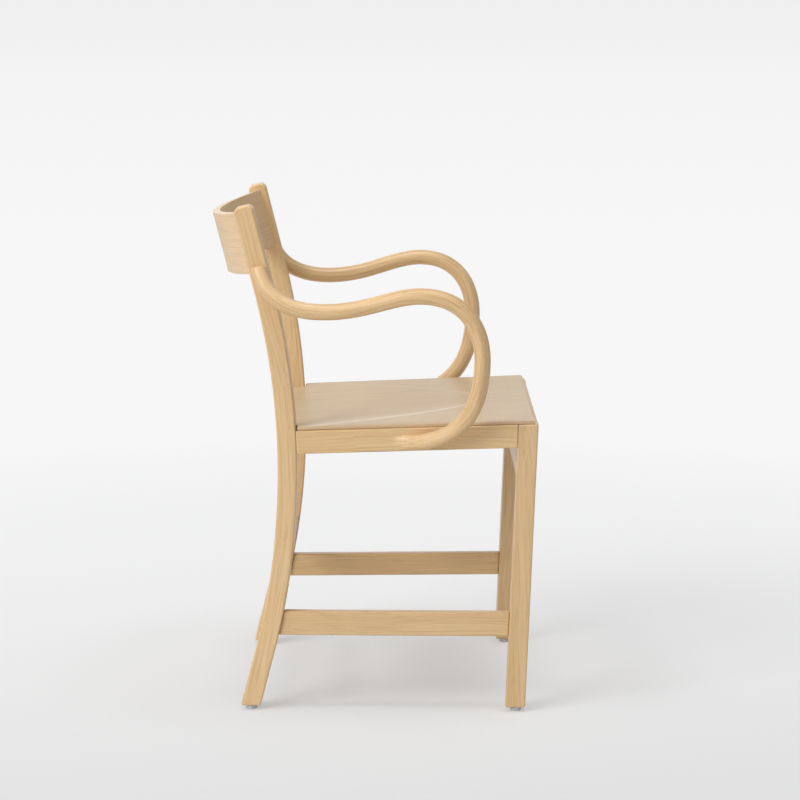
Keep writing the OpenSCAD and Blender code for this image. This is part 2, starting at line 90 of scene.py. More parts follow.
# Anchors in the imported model, and how the side frames taper to the back
REAR_HALF, SIDE_TAPER = 0.219, 0.011
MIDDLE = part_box("back_rail")[0].y + BACK_RAIL_LEAD
FRONT_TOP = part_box("front_leg_left")[1].z
GLIDE_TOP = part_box("front_leg_left")[0].z
CHAIR_TOP = CAD_BOX[1].z
TAPER = math.asin(SIDE_TAPER / SIDE_DEPTH)

# The seat is drawn level, with y from the legs' front: where its notches for
# the posts and its body between the rails begin
SEAT_RUN = SIDE_DEPTH + SEAT_BACK_OUT
NOTCH_Y, NOTCH_IN = SIDE_DEPTH - POST / 2 - SEAT_GAP, POST + SEAT_GAP - SEAT_SIDE_IN
BODY_Y, BODY_IN = LEG + 2 * SEAT_GAP, RAIL_T + SEAT_GAP - SEAT_SIDE_IN


# Shapes of the side frame: y is 0 at the posts' waist and falls to the front
def frame_top(y):
    return FRONT_TOP - (SIDE_DEPTH + y) * math.tan(SEAT_FALL)


def leg_back(z):
    return LEG_RAKE * (FRONT_TOP - z) / (FRONT_TOP - GLIDE_TOP) - SIDE_DEPTH + LEG


def post_edge(z, off):
    low = POST_WAIST - (POST_BEND - off) * math.sin(FOOT_LEAN)
    if z < low:
        return POST_BEND - (POST_BEND - off) * math.cos(FOOT_LEAN) + (low - z) * math.tan(FOOT_LEAN)
    return POST_BEND - math.sqrt((POST_BEND - off) ** 2 - (z - POST_WAIST) ** 2)


def post_turn(z):
    return math.asin((z - POST_WAIST) / POST_BEND)


# Where the bend ends and the straight top starts, and how long that top is
POST_START = Vector((0, POST_BEND * (1 - math.cos(POST_LEAN)), POST_WAIST + POST_BEND * math.sin(POST_LEAN)))
POST_UP = (CHAIR_TOP - POST_START.z - POST / 2 * math.sin(POST_LEAN)
           - POST_ROUND * (1 - math.cos(POST_LEAN) - math.sin(POST_LEAN))) / math.cos(POST_LEAN)


def soft_step(value, low, high):
    share = min(max((value - low) / (high - low), 0), 1)
    return share * share * (3 - 2 * share)


# Camera
def aim_camera(place, pitch, yaw, lens):
    bpy.ops.object.select_all(action="DESELECT")
    bpy.ops.object.camera_add(location=place, rotation=(math.radians(90 - pitch), 0, math.radians(-90 - yaw)))
    camera = bpy.context.object
    camera.name = "camera"
    camera.data.lens = lens
    camera.data.sensor_width = 36
    camera.data.clip_end = 500
    bpy.context.scene.camera = camera


aim_camera(place=(-4.289, -0.0367, 1.165), pitch=9.377, yaw=0.08, lens=120.75)


# Modelling by hand: pick, cut, round, copy
def use(piece):
    if bpy.context.object and bpy.context.object.mode != "OBJECT":
        bpy.ops.object.mode_set(mode="OBJECT")
    bpy.ops.object.select_all(action="DESELECT")
    piece.select_set(True)
    bpy.context.view_layer.objects.active = piece


def named(name):
    piece = bpy.context.object
    piece.name = piece.data.name = name
    return piece


def settle(piece):
    use(piece)
    bpy.ops.object.transform_apply(location=True, rotation=True, scale=True)
    return piece


def block(name, low, high):
    bpy.ops.object.select_all(action="DESELECT")
    low, high = Vector(low), Vector(high)
    bpy.ops.mesh.primitive_cube_add(size=1, location=(low + high) / 2, scale=high - low)
    return settle(named(name))


def edit_all(piece):
    use(piece)
    bpy.ops.object.mode_set(mode="EDIT")
    bpy.ops.mesh.select_all(action="SELECT")


# Each pick leaves the piece in edit mode with what passes the test selected
def pick_nothing(piece, kind):
    use(piece)
    bpy.ops.object.mode_set(mode="EDIT")
    bpy.ops.mesh.select_mode(type=kind)
    bpy.ops.mesh.select_all(action="DESELECT")
    bpy.ops.object.mode_set(mode="OBJECT")


def pick_faces(piece, test):
    pick_nothing(piece, "FACE")
    for face in piece.data.polygons:
        face.select = test(face.center, face.normal)
    bpy.ops.object.mode_set(mode="EDIT")


def pick_points(piece, test):
    pick_nothing(piece, "VERT")
    for point in piece.data.vertices:
        point.select = test(point.co)
    bpy.ops.object.mode_set(mode="EDIT")


def pick_edges(piece, test):
    pick_nothing(piece, "EDGE")
    points = piece.data.vertices
    for edge in piece.data.edges:
        a, b = (points[i].co for i in edge.vertices)
        edge.select = test(a, b)
    bpy.ops.object.mode_set(mode="EDIT")


def shift(by):
    bpy.ops.transform.translate(value=by)
    bpy.ops.object.mode_set(mode="OBJECT")


def face_out():
    bpy.ops.mesh.select_all(action="SELECT")
    bpy.ops.mesh.normals_make_consistent(inside=False)
    bpy.ops.object.mode_set(mode="OBJECT")


def cut(piece, point, normal, clear=True):
    edit_all(piece)
    bpy.ops.mesh.bisect(plane_co=point, plane_no=normal, use_fill=clear, clear_outer=clear)
    bpy.ops.object.mode_set(mode="OBJECT")


def carve(piece, tool, operation="DIFFERENCE"):
    use(piece)
    carving = piece.modifiers.new("carve", "BOOLEAN")
    carving.operation = operation
    carving.object = tool
    bpy.ops.object.modifier_apply(modifier=carving.name)
    bpy.data.objects.remove(tool)


# Takes off the arrises of a piece
def ease(piece, width, segments=3, sharp=30):
    use(piece)
    rounding = piece.modifiers.new("arrises", "BEVEL")
    rounding.width = width
    rounding.segments = segments
    rounding.limit_method = "ANGLE"
    rounding.angle_limit = math.radians(sharp)
    bpy.ops.object.modifier_apply(modifier=rounding.name)


def twin(piece, name):
    copy = piece.copy()
    copy.data = piece.data.copy()
    copy.name = copy.data.name = name
    bpy.context.scene.collection.objects.link(copy)
    return copy


# Each piece carries its own fibre coordinates and a tone, one for all its
# points or given by a function
def lay_grain(piece, follow, start, tone=1.0):
    fibres = piece.data.attributes.new("grain", "FLOAT_VECTOR", "POINT")
    start = Vector(start)
    for item, point in zip(fibres.data, piece.data.vertices):
        item.vector = Vector(follow(point.co)) + start
    tones = piece.data.attributes.new("tone", "FLOAT", "POINT")
    for item, point in zip(tones.data, piece.data.vertices):
        item.value = tone(point.co) if callable(tone) else tone


# From the plane it is drawn in to its place in a side frame
def stand(piece, side):
    piece.rotation_euler.z = TAPER
    piece.location = (REAR_HALF, MIDDLE, 0)
    settle(piece)
    if side == RIGHT:
        piece.scale.x = -1
        settle(piece)
        edit_all(piece)
        bpy.ops.mesh.flip_normals()
        bpy.ops.object.mode_set(mode="OBJECT")


def polish(piece, sharp=35):
    use(piece)
    bpy.ops.object.shade_smooth_by_angle(angle=math.radians(sharp))
    evening = piece.modifiers.new("even", "WEIGHTED_NORMAL")
    evening.keep_sharp = True
    bpy.ops.object.modifier_apply(modifier=evening.name)


def dress(piece, finish, slot, *nodes):
    piece.data.materials.clear()
    piece.data.materials.append(finish)
    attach(piece, "root")
    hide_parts(*nodes)


# The left and right copies of a piece that is drawn once
def make_pair(drawn, kind, follow, start, tone, finish, slot="frame_oak", sharp=35):
    for side, hand in SIDES:
        name = f"{kind}_{hand}"
        piece = twin(drawn, "oak_" + name)
        lay_grain(piece, follow, (start[0] * side, start[1], start[2] * side), tone)
        stand(piece, side)
        polish(piece, sharp)
        dress(piece, finish, slot, name)
    bpy.data.objects.remove(drawn)


# Cuts along the leg's back and the post's front
def leg_plane(piece):
    top, foot = Vector((0, leg_back(FRONT_TOP), FRONT_TOP)), Vector((0, leg_back(0), 0))
    way = (foot - top).normalized()
    cut(piece, top, way.cross(Vector((1, 0, 0))))


def post_plane(piece, low, high):
    a = Vector((0, post_edge(low, -POST / 2), low))
    b = Vector((0, post_edge(high, -POST / 2), high))
    cut(piece, a, Vector((1, 0, 0)).cross((a - b).normalized()))


# Straight fibres run along y, x or z of the drawn piece; bent ones follow the bend
def along_y(co):
    return co.x, co.z, co.y


def along_x(co):
    return co.y, co.z, co.x


def along_z(co):
    return co.x, co.y, co.z


def along_post(co):
    turn = math.atan2(co.z - POST_WAIST, POST_BEND - co.y)
    turn = max(-FOOT_LEAN, min(POST_LEAN, turn))
    off = Vector((
        co.y - POST_BEND + POST_BEND * math.cos(turn), co.z - POST_WAIST - POST_BEND * math.sin(turn)))
    through = off.x * math.cos(turn) - off.y * math.sin(turn)
    along = off.x * math.sin(turn) + off.y * math.cos(turn) + POST_BEND * turn
    return co.x, through, along


# Back posts: a straight foot, a long bend, a straight top with rounded corners
def make_posts(finish):
    reach = 0.14
    low_bend = Vector((
        -POST / 2, POST_BEND * (1 - math.cos(FOOT_LEAN)), POST_WAIST - POST_BEND * math.sin(FOOT_LEAN)))
    down = Vector((0, math.sin(FOOT_LEAN), -math.cos(FOOT_LEAN)))
    bpy.ops.object.select_all(action="DESELECT")
    bpy.ops.mesh.primitive_plane_add(size=POST, location=low_bend + down * reach, rotation=(FOOT_LEAN, 0, 0))
    post = settle(named("post"))
    pick_faces(post, lambda place, way: True)
    bpy.ops.mesh.extrude_region_move(TRANSFORM_OT_translate={"value": down * -reach})
    bpy.ops.mesh.spin(steps=36, angle=FOOT_LEAN + POST_LEAN, center=(0, POST_BEND, POST_WAIST), axis=(1, 0, 0))
    up = Vector((0, math.sin(POST_LEAN), math.cos(POST_LEAN)))
    bpy.ops.mesh.extrude_region_move(TRANSFORM_OT_translate={"value": up * POST_UP})
    face_out()
    top = POST_START.z + (POST_UP - 0.02) * math.cos(POST_LEAN)
    pick_edges(post, lambda a, b: min(a.z, b.z) > top and abs(a.x - b.x) > POST / 2)
    bpy.ops.mesh.bevel(offset=POST_ROUND, segments=8, clamp_overlap=False)
    bpy.ops.object.mode_set(mode="OBJECT")
    cut(post, (0, 0, GLIDE_TOP), (0, 0, -1))
    ease(post, ARRIS["post"])
    make_pair(post, "back_post", along_post, (0.31, 0.07, 0.8), 1.05, finish)


# Front legs: they rake back towards the foot and are cut to the seat's slope
def make_legs(finish):
    leg = block("leg", (-LEG, -SIDE_DEPTH, GLIDE_TOP), (0, LEG - SIDE_DEPTH, FRONT_TOP))
    pick_faces(leg, lambda place, way: way.z < -0.5)
    shift((0, LEG_RAKE, 0))
    pick_points(leg, lambda co: co.z > FRONT_TOP / 2 and co.y > -SIDE_DEPTH + LEG / 2)
    shift((0, 0, -LEG * math.tan(SEAT_FALL)))
    ease(leg, ARRIS["leg"])
    make_pair(leg, "front_leg", along_z, (0.22, 0.4, 0.5), 1.0, finish)


# Side rails: level with the legs' tops, housed on the outside for the arm's lap
def make_side_rails(finish):
    rail = block("rail", (-RAIL_T, -SIDE_DEPTH, FRONT_TOP - RAIL_H), (0, 0, FRONT_TOP))
    pick_points(rail, lambda co: co.y > -SIDE_DEPTH / 2)
    shift((0, 0, frame_top(0) - FRONT_TOP))
    leg_plane(rail)
    post_plane(rail, frame_top(0) - RAIL_H, frame_top(0))
    ease(rail, ARRIS["side_rail"])
    # The housing's floor slopes up to the face at its front end
    past = 0.05
    start = -LAP_END - LAP_LEN
    half_way = start + LAP_LEN / 2
    drop = RAIL_H - LAP_PROUD - ARM_D
    room = block("room", (-LAP_DEPTH, start, 0), (past, -LAP_END, ARM_D))
    pick_points(room, lambda co: co.y < half_way)
    shift((0, 0, frame_top(start)))
    pick_points(room, lambda co: co.y > half_way)
    shift((0, 0, frame_top(-LAP_END)))
    use(room)
    bpy.ops.transform.translate(value=(0, 0, -drop - ARM_D))
    settle(room)
    pick_points(room, lambda co: co.y < half_way and co.x > -LAP_DEPTH / 2)
    shift((0, -(past + LAP_DEPTH) * LAP_LEN / 2 / LAP_DEPTH, 0))
    carve(rail, room)
    make_pair(rail, "side_rail", along_y, (0.55, 0.13, 0.3), 1.08, finish)


# Cross pieces run straight between the two side frames
def between(piece, depth):
    for side in (LEFT, RIGHT):
        out = Vector((side * math.cos(TAPER), math.sin(TAPER), 0))
        cut(piece, Vector((side * REAR_HALF, MIDDLE, 0)) - out * depth, out)


def make_front_rail(finish):
    low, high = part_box("front_rail")
    rail = block("oak_front_rail", low, (high.x, high.y, FRONT_TOP))
    lean = LEG_RAKE / (FRONT_TOP - GLIDE_TOP) * (high.z - low.z)
    pick_points(rail, lambda co: co.y > (low.y + high.y) / 2 and co.z > FRONT_TOP - 0.01)
    shift((0, -lean, 0))
    pick_points(rail, lambda co: co.y < (low.y + high.y) / 2 and co.z < low.z + 0.01)
    shift((0, lean, 0))
    cut(rail, (0, low.y, high.z), (0, math.sin(SEAT_FALL), math.cos(SEAT_FALL)))
    between(rail, LEG)
    ease(rail, ARRIS["front_rail"])
    lay_grain(rail, along_x, (0.9, 0.2, 0))
    polish(rail)
    dress(rail, finish, "frame_oak", "front_rail")


def make_back_rail(finish):
    low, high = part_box("back_rail")
    rail = block("oak_back_rail", low, high)
    cut(rail, (0, low.y, high.z), (0, math.sin(SEAT_FALL), math.cos(SEAT_FALL)))
    between(rail, POST)
    ease(rail, ARRIS["back_rail"])
    lay_grain(rail, along_x, (1.3, 0.6, 0))
    polish(rail)
    dress(rail, finish, "frame_oak", "back_rail")


def make_side_stretchers(finish):
    low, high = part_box("side_stretcher_left")
    inner, outer = -(POST + STRETCHER_T) / 2, -(POST - STRETCHER_T) / 2
    bar = block("bar", (inner, -SIDE_DEPTH, low.z), (outer, 0.05, high.z))
    leg_plane(bar)
    post_plane(bar, low.z, high.z)
    ease(bar, ARRIS["stretcher"])
    make_pair(bar, "side_stretcher", along_y, (0.17, 0.35, 0.9), 1.01, finish)


def make_back_stretcher(finish):
    low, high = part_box("back_stretcher")
    centre = (low + high) / 2
    thick, tall = STRETCHER_T / 2, BACK_STRETCHER_H / 2
    bar = block("oak_back_stretcher", (low.x, -thick, -tall), (high.x, thick, tall))
    bar.rotation_euler.x = -post_turn(centre.z)
    bar.location = (0, centre.y, centre.z)
    settle(bar)
    between(bar, POST)
    ease(bar, ARRIS["stretcher"])
    lay_grain(bar, along_x, (0.44, 0.71, 0))
    polish(bar)
    dress(bar, finish, "frame_oak", "back_stretcher")


# Seat panel: a lip over the frame, a body between the rails, a shallow dish on
# top. Half its width falls towards the back, as the side frames do
def seat_half(y):
    return REAR_HALF - SEAT_SIDE_IN + (SIDE_DEPTH - y) * math.tan(TAPER)


def to_seat_edge(co):
    half = seat_half(co.y)
    out = min(co.y - SEAT_FRONT_IN, SEAT_RUN - co.y, half - abs(co.x))
    if co.y <= NOTCH_Y or abs(co.x) <= half - NOTCH_IN:
        across = max(half - NOTCH_IN - abs(co.x), 0)
        ahead = max(NOTCH_Y - co.y, 0)
        out = min(out, math.hypot(across, ahead))
    return max(out, 0)


# The dish is a trough that deepens towards the back; it starts at one crest line
def trough(co):
    return co.x ** 2 / (2 * DISH_R) - math.tan(DISH_FALL) * (co.y - DISH_START)


def from_crest(co):
    return trough(co) / math.hypot(co.x / DISH_R, math.tan(DISH_FALL))


def dish(co):
    hollow, soft = trough(co), 0.0003
    blend = max(soft - abs(hollow), 0) / soft
    return min(0, hollow) - blend ** 2 * soft / 4


def rounding(distance, radius):
    if distance >= radius:
        return 0
    return radius - math.sqrt(max(radius ** 2 - (radius - distance) ** 2, 0))


def in_notch(co):
    return co.y > NOTCH_Y and abs(co.x) > seat_half(co.y) - NOTCH_IN


def in_body(co):
    return co.z < -SEAT_LIP / 2 and co.y > BODY_Y and abs(co.x) < seat_half(co.y) - BODY_IN


# Between the posts the lip is thicker
def in_tail(co):
    return co.y > NOTCH_Y - WELD and abs(co.x) < seat_half(co.y) - NOTCH_IN + WELD


def on_lip_edge(co):
    return to_seat_edge(co) < 0.001


# The crest's painted highlight and its coat are stronger on its right half than on its left
def highlight_side(co):
    return 1 - 0.6 * soft_step(co.x, -0.14, 0.20)


# The crest is painted pale as a painted highlight; the lip's edge is painted lighter as painted light, and is
# not whitened
def crest_highlight_tone(co):
    if on_lip_edge(co):
        return 1.1
    return 1 + 0.08 * highlight_side(co) * max(1 - abs(from_crest(co)) / 0.009, 0)


# The coat is heaviest on the crest and thins into the dish; where it is heaviest the crest is also painted
# white as a highlight
def crest_gloss_paint(co):
    if on_lip_edge(co):
        return 0
    away = from_crest(co)
    width, flank = (0.007, 0.36) if away > 0 else (0.018, 0.5 * math.exp(away / 0.035))
    return max(1 - abs(away) / width, flank) * highlight_side(co)


# Rows run along the seat and insets across it, close together at rounded edges
def seat_rows():
    edge = [share * LIP_ROUND for share in (0.0, 0.06, 0.3, 0.65, 1.0)]
    lead, step, long_rows, tail_rows = 0.0055, 0.0037, 90, 4
    long_run = NOTCH_Y - LIP_ROUND - BODY_Y
    tail_run = SEAT_RUN - NOTCH_Y - 2 * LIP_ROUND
    rows = [SEAT_FRONT_IN + d for d in edge] + [SEAT_FRONT_IN + lead + step * k for k in range(5)] + [BODY_Y]
    rows += [BODY_Y + long_run * k / long_rows for k in range(1, long_rows + 1)]
    rows += [NOTCH_Y - d for d in reversed(edge[:-1])] + [NOTCH_Y + d for d in edge[1:]]
    rows += [NOTCH_Y + LIP_ROUND + tail_run * k / tail_rows for k in range(1, tail_rows + 1)]
    rows += [SEAT_RUN - d for d in reversed(edge[:-1])]
    near_notch = [NOTCH_IN + share * LIP_ROUND for share in (-1, -0.5, 0, 0.5, 1)]
    return rows, sorted(set(edge + [0.006, 0.0105, 0.0148, BODY_IN, 0.0225] + near_notch))


def make_seat(finish):
    rows, ins = seat_rows()
    inner = [k / 60 for k in range(-59, 60)]
    columns = 2 * len(ins) + len(inner)

    def place(column, row):
        y, half = rows[row], seat_half(rows[row])
        if column < len(ins):
            return Vector((-half + ins[column], y, 0))
        if column < len(ins) + len(inner):
            return Vector((inner[column - len(ins)] * (half - ins[-1]), y, 0))
        return Vector((half - ins[columns - 1 - column], y, 0))

    bpy.ops.object.select_all(action="DESELECT")
    bpy.ops.mesh.primitive_grid_add(x_subdivisions=columns - 1, y_subdivisions=len(rows) - 1, size=1)
    panel = settle(named("pale_seat_panel"))
    for index, point in enumerate(panel.data.vertices):
        point.co = place(index % columns, index // columns)
    pick_faces(panel, lambda place, way: in_notch(place))
    bpy.ops.mesh.delete(type="FACE")
    bpy.ops.mesh.select_all(action="SELECT")
    bpy.ops.mesh.extrude_region_move(TRANSFORM_OT_translate={"value": (0, 0, -SEAT_LIP)})
    bpy.ops.object.mode_set(mode="OBJECT")
    pick_faces(panel, lambda place, way: abs(way.z) > 0.5 and in_body(place))
    bpy.ops.mesh.extrude_region_move(TRANSFORM_OT_translate={"value": (0, 0, -SEAT_BODY)})
    face_out()
    for point in panel.data.vertices:
        co = point.co
        if co.z > -SEAT_LIP / 2:
            co.z = dish(co) - rounding(to_seat_edge(co), LIP_ROUND)
        elif co.z > -SEAT_LIP - SEAT_BODY / 2:
            co.z += -SEAT_TAIL if in_tail(co) else rounding(to_seat_edge(co), UNDER_ROUND)
    pick_faces(panel, lambda place, way: way.z < -0.99 and place.z < -SEAT_LIP - SEAT_BODY / 2)
    bpy.ops.mesh.dissolve_limited(angle_limit=FLAT)
    bpy.ops.object.mode_set(mode="OBJECT")
    # The tone paints the crest's highlight and the light on the lip's edge
    lay_grain(panel, along_y, (2.1, 0.9, 0.4), crest_highlight_tone)
    # This attribute sets the coat's weight and the crest's painted white highlight
    highlight_coat = panel.data.attributes.new("highlight_coat", "FLOAT", "POINT")
    for item, point in zip(highlight_coat.data, panel.data.vertices):
        item.value = crest_gloss_paint(point.co)
    panel.rotation_euler.x = -SEAT_FALL
    panel.location = (0, MIDDLE - SIDE_DEPTH, FRONT_TOP)
    settle(panel)
    bpy.ops.transform.translate(value=(0, math.sin(SEAT_FALL) * SEAT_LIP, math.cos(SEAT_FALL) * SEAT_LIP))
    settle(panel)
    polish(panel, 50)
    dress(panel, finish, "seat_oak", "seat_panel")


# Backrest: a flat band bent to an arc, its ends let into the posts
def make_backrest(finish):
    centre_y = -BACK_LEAD - math.sqrt(BACK_R ** 2 - (REAR_HALF - POST) ** 2)
    top = POST_UP - BACK_DROP
    sweep = math.asin((REAR_HALF - POST / 2) / BACK_R)
    bpy.ops.object.select_all(action="DESELECT")
    bpy.ops.mesh.primitive_plane_add(
        size=1, location=(0, centre_y + BACK_R + BACK_T / 2, top - BACK_H / 2),
        rotation=(0, math.pi / 2, 0))
    panel = named("pale_backrest_panel")
    panel.scale = (BACK_H, BACK_T, 1)
    settle(panel)
    pick_faces(panel, lambda place, way: True)
    bpy.ops.transform.rotate(value=sweep, orient_axis="Z", center_override=(0, centre_y, 0))
    bpy.ops.mesh.spin(steps=64, angle=2 * sweep, center=(0, centre_y, 0), axis=(0, 0, -1))
    face_out()
    panel.rotation_euler.x = -POST_LEAN
    panel.location = (0, POST_START.y + MIDDLE, POST_START.z)
    settle(panel)
    between(panel, POST - MORTISE)
    ease(panel, ARRIS["backrest"], sharp=50)
    turn = Matrix.Rotation(POST_LEAN, 3, "X")
    origin = Vector((0, POST_START.y + MIDDLE, POST_START.z))

    def along_arc(co):
        flat = turn @ (co - origin)
        aside, ahead = flat.x, flat.y - centre_y
        return flat.z, math.hypot(aside, ahead), BACK_R * math.atan2(aside, ahead)

    # The face towards the sitter is painted darker than the rest: painted shade on the face turned from the
    # lamps
    def painted_inner_shade(co):
        return 0.91 if along_arc(co)[1] < BACK_R + BACK_T / 3 else 1.0

    lay_grain(panel, along_arc, (3.3, 0.2, 1.7), painted_inner_shade)
    polish(panel)
    dress(panel, finish, "backrest_oak", "backrest_panel")


# Armrests: a bent rod that grows out of a flat lap on the side rail
def make_lap():
    start = -LAP_END - LAP_LEN
    lap = block("lap", (-LAP_DEPTH, start, 0), (LAP_PROUD, -LAP_END, ARM_D))
    # Its front end slopes up to the rail's face, as the housing does
    cut(lap, (0, 0, 0), (1, 0, 0), clear=False)
    pick_points(lap, lambda co: co.y < start + 0.001 and abs(co.x) < 0.0005)
    shift((0, -LAP_LEN / 2, 0))
    for point in lap.data.vertices:
        point.co.z += frame_top(point.co.y) + LAP_PROUD - RAIL_H
    ease(lap, ARRIS["lap"], segments=2)
    return lap


# The stops of the bend: place, way, and the handles' reach before and after
def arm_stops():
    post_y = POST_START.y + (ARM_TOP - POST_START.z) * math.tan(POST_LEAN)
    root_y = -LAP_END - ARM_ROOT * LAP_LEN
    root_z = frame_top(root_y) + ARM_D / 2 + LAP_PROUD - RAIL_H
    return [
        (Vector((-0.004, post_y, ARM_TOP)),
         Vector((0.45, -math.sin(POST_LEAN), -math.cos(POST_LEAN))), 0.004, 0.064),
        (Vector((0.0213, -0.057, 0.632)), Vector((0.087, -1, 0)), 0.019, 0.066),
        (Vector((0.0446, -0.209, 0.6595)), Vector((0.124, -1, 0)), 0.046, 0.062),
        (Vector((0.0456, -0.3005, 0.561)), Vector((0, 0, -1)), 0.054, 0.146),
        (Vector((LAP_PROUD - ARM_D / 2, root_y, root_z)),
         Vector((-0.35, math.cos(SEAT_FALL), -math.sin(SEAT_FALL))), 0.030, 0.004)]


def bend_rod(stops):
    bpy.ops.object.select_all(action="DESELECT")
    bpy.ops.curve.primitive_bezier_curve_add()
    bend = named("bend")
    bend.location = (0, 0, 0)
    spline = bend.data.splines[0]
    spline.bezier_points.add(len(stops) - 2)
    for point, (place, way, before, after) in zip(spline.bezier_points, stops):
        point.handle_left_type = point.handle_right_type = "FREE"
        point.co = place
        point.handle_left = place - way * before
        point.handle_right = place + way * after
    bend.data.resolution_u = 28
    bend.data.bevel_depth = ARM_D / 2
    bend.data.bevel_resolution = 14
    bend.data.use_fill_caps = True
    bend.data.twist_mode = "MINIMUM"
    use(bend)
    bpy.ops.object.convert(target="MESH")
    rod = named("rod")
    edit_all(rod)
    bpy.ops.mesh.remove_doubles(threshold=WELD)
    face_out()
    return rod


# The middle of the bend, and on along the lap, as points and their run
def arm_path(stops):
    path = []
    for (a, way_a, _, reach_a), (b, way_b, reach_b, _) in zip(stops, stops[1:]):
        p, q = a + way_a * reach_a, b - way_b * reach_b
        for k in range(30):
            t = k / 30
            path.append((1 - t) ** 3 * a + 3 * (1 - t) ** 2 * t * p + 3 * (1 - t) * t * t * q + t ** 3 * b)
    root, fall = stops[-1][0], math.tan(SEAT_FALL)
    path += [root + Vector((0, LAP_LEN * k / 20, -LAP_LEN * k / 20 * fall)) for k in range(21)]
    lengths = [0]
    for a, b in zip(path, path[1:]):
        lengths.append(lengths[-1] + (b - a).length)
    return path, lengths


def make_arms(finish):
    stops = arm_stops()
    root = stops[-1][0]
    rod = bend_rod(stops)
    # It swells slowly out of the lap's face
    for point in rod.data.vertices:
        out = point.co.x - LAP_PROUD
        if out > 0 and point.co.z < frame_top(point.co.y) + 0.02:
            point.co.x -= (out + ARM_SUNK) * (1 - soft_step(root.y - point.co.y, 0, ARM_SWELL))
    # The post and the rail leave only what stands out from the side frame
    carve(rod, block("away", (-0.05, -0.5, 0.3), (0, 0.3, 0.8)))
    carve(rod, make_lap(), "UNION")
    path, lengths = arm_path(stops)
    root_length = lengths[path.index(root)]

    # The fibres follow the bend and run straight through the lap
    def along_arm(co):
        best = min(range(len(path)), key=lambda i: (path[i] - co).length_squared)
        way = (path[min(best + 1, len(path) - 1)] - path[max(best - 1, 0)]).normalized()
        across = way.cross(Vector((1, 0, 0))).normalized()
        up = across.cross(way)
        off = co - path[best]
        bent = Vector((off.dot(across), off.dot(up), lengths[best] + off.dot(way)))
        if co.z > root.z + 0.1:
            return bent
        sunk = (co.y - root.y) * math.tan(SEAT_FALL)
        straight = Vector((root.z - sunk - co.z, co.x - root.x, root_length + co.y - root.y))
        share = min(max((co.y + LAP_END + LAP_LEN * 1.3) / (LAP_LEN * 0.3), 0), 1)
        return bent.lerp(straight, share)

    make_pair(rod, "armrest", along_arm, (0.61, 0.27, 0.2), 1.03, finish, "arm_oak", 9)


def at_corners(kind):
    return [f"{kind}_{end}_{hand}" for end in ("front", "back") for _, hand in SIDES]


# Glides: turned discs with a soft edge, hollowed underneath for the nail's head
def make_glides(finish):
    for name in at_corners("glide"):
        low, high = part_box(name)
        centre, tall = (low + high) / 2, high.z - low.z
        bpy.ops.object.select_all(action="DESELECT")
        bpy.ops.mesh.primitive_cylinder_add(
            vertices=48, radius=(high.x - low.x) / 2, depth=tall, location=centre)
        disc = settle(named("felt_" + name))
        pick_faces(disc, lambda place, way: way.z < -0.5)
        bpy.ops.mesh.inset(thickness=GLIDE_RIM)
        bpy.ops.mesh.extrude_region_move(TRANSFORM_OT_translate={"value": (0, 0, GLIDE_HOLLOW)})
        bpy.ops.object.mode_set(mode="OBJECT")
        ease(disc, ARRIS["glide"])
        polish(disc)
        dress(disc, finish, "glide_plastic", name)


# Corner blocks: the source's own shape, with its arrises taken off
def make_blocks(finish):
    for name in at_corners("corner_block"):
        piece = twin(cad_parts[name], "plain_" + name)
        for key in list(piece.keys()):
            del piece[key]
        piece.parent = None
        edit_all(piece)
        bpy.ops.mesh.remove_doubles(threshold=WELD)
        bpy.ops.mesh.dissolve_limited(angle_limit=FLAT)
        bpy.ops.object.mode_set(mode="OBJECT")
        ease(piece, ARRIS["block"], segments=2)
        # The fibres run slantwise, from rail to rail
        side = math.copysign(1, piece.data.vertices[0].co.x)
        start = (0.13 * len(name), 0.3, 0.1)
        lay_grain(piece, lambda co: (co.x + co.y * side, co.z, co.y - co.x * side), start)
        polish(piece)
        dress(piece, finish, "block_wood", name)


# Shader nodes: each helper adds one node to a tree and gives back its result
def feed(tree, socket, value):
    if isinstance(value, bpy.types.NodeSocket):
        tree.links.new(value, socket)
    else:
        socket.default_value = value


def calculate(tree, operation, a, b=None, clamp=False):
    node = tree.nodes.new("ShaderNodeMath")
    node.operation = operation
    node.use_clamp = clamp
    feed(tree, node.inputs[0], a)
    if b is not None:
        feed(tree, node.inputs[1], b)
    return node.outputs[0]


def spread(tree, value, low=0.0, high=1.0, to_low=0.0, to_high=1.0, way="LINEAR"):
    node = tree.nodes.new("ShaderNodeMapRange")
    node.interpolation_type = way
    for name, number in (("From Min", low), ("From Max", high), ("To Min", to_low), ("To Max", to_high)):
        node.inputs[name].default_value = number
    tree.links.new(value, node.inputs["Value"])
    return node.outputs["Result"]


def blend(tree, share, a, b, way="MIX"):
    node = tree.nodes.new("ShaderNodeMix")
    node.data_type = "RGBA"
    node.blend_type = way
    for socket, value in zip((node.inputs[0], node.inputs[6], node.inputs[7]), (share, a, b)):
        feed(tree, socket, value)
    return node.outputs[2]


def noise(tree, vector, scale, detail=2.0, rough=0.5):
    node = tree.nodes.new("ShaderNodeTexNoise")
    node.inputs["Scale"].default_value = scale
    node.inputs["Detail"].default_value = detail
    node.inputs["Roughness"].default_value = rough
    tree.links.new(vector, node.inputs["Vector"])
    return node


def ramp(tree, value, low, high):
    node = tree.nodes.new("ShaderNodeValToRGB")
    for stop, color in zip(node.color_ramp.elements, (low, high)):
        stop.color = (*color, 1)
    tree.links.new(value, node.inputs["Fac"])
    return node.outputs["Color"]


def relief(tree, shader, height, strength, distance):
    bump = tree.nodes.new("ShaderNodeBump")
    bump.inputs["Strength"].default_value = strength
    bump.inputs["Distance"].default_value = distance
    tree.links.new(height, bump.inputs["Height"])
    tree.links.new(bump.outputs["Normal"], shader.inputs["Normal"])


